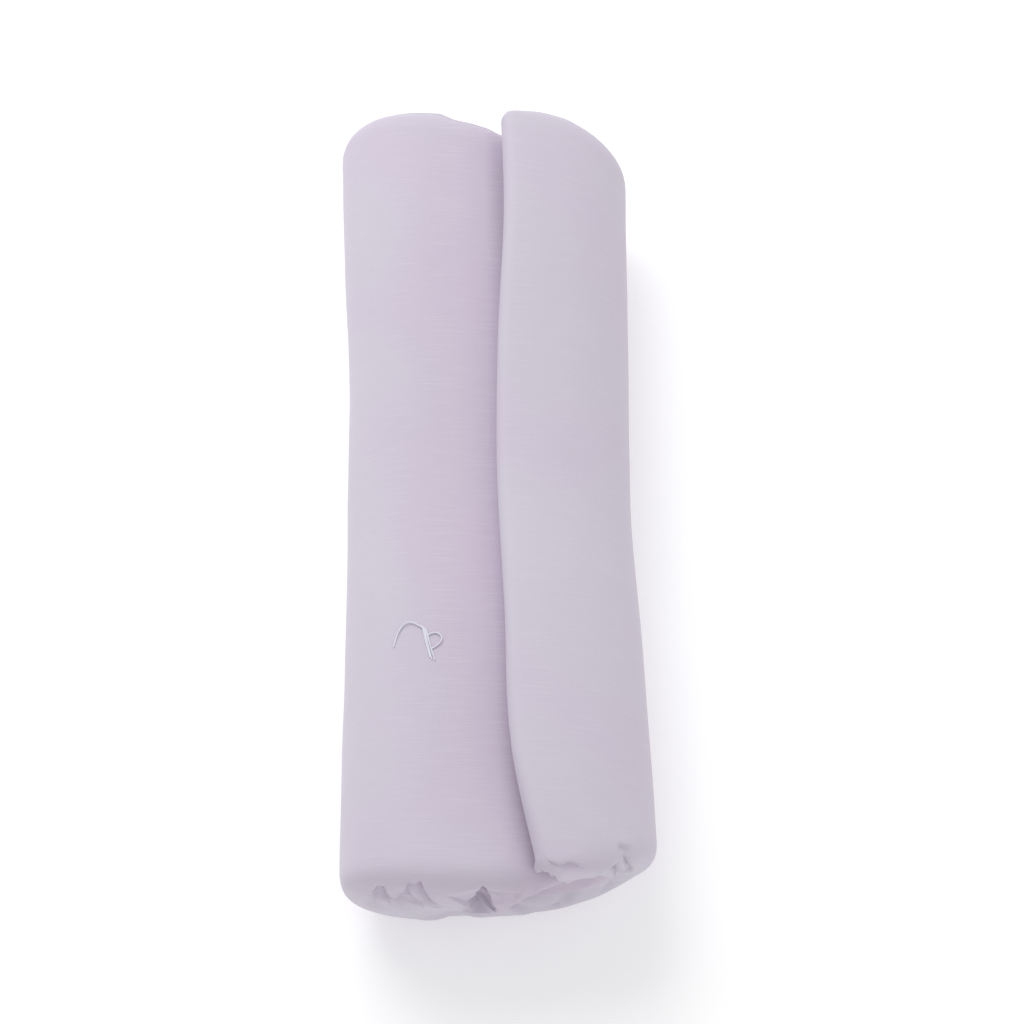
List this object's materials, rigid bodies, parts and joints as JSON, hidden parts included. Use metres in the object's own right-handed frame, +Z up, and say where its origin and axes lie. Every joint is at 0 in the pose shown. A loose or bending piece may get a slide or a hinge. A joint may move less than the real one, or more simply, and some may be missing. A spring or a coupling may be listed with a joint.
{
  "type": "rolled turban cloth",
  "caption": "Soft oval roll of thin pale lilac turban cloth, folded into a long band and wound up, with its free end lying along the top and its near end tucked in.",
  "frame": {"origin": "middle of the flattened underside, on the surface that the roll lies on", "axes": "+Y along the roll from its tucked near end to its far end, +Z up, +X to the right seen from the near end"},
  "size_m": [0.1111, 0.292, 0.0723],
  "materials": {
    "voile": "matte plain weave"
  },
  "bodies": {
    "root": {"turban_cloth": "voile"}
  },
  "joints": []
}
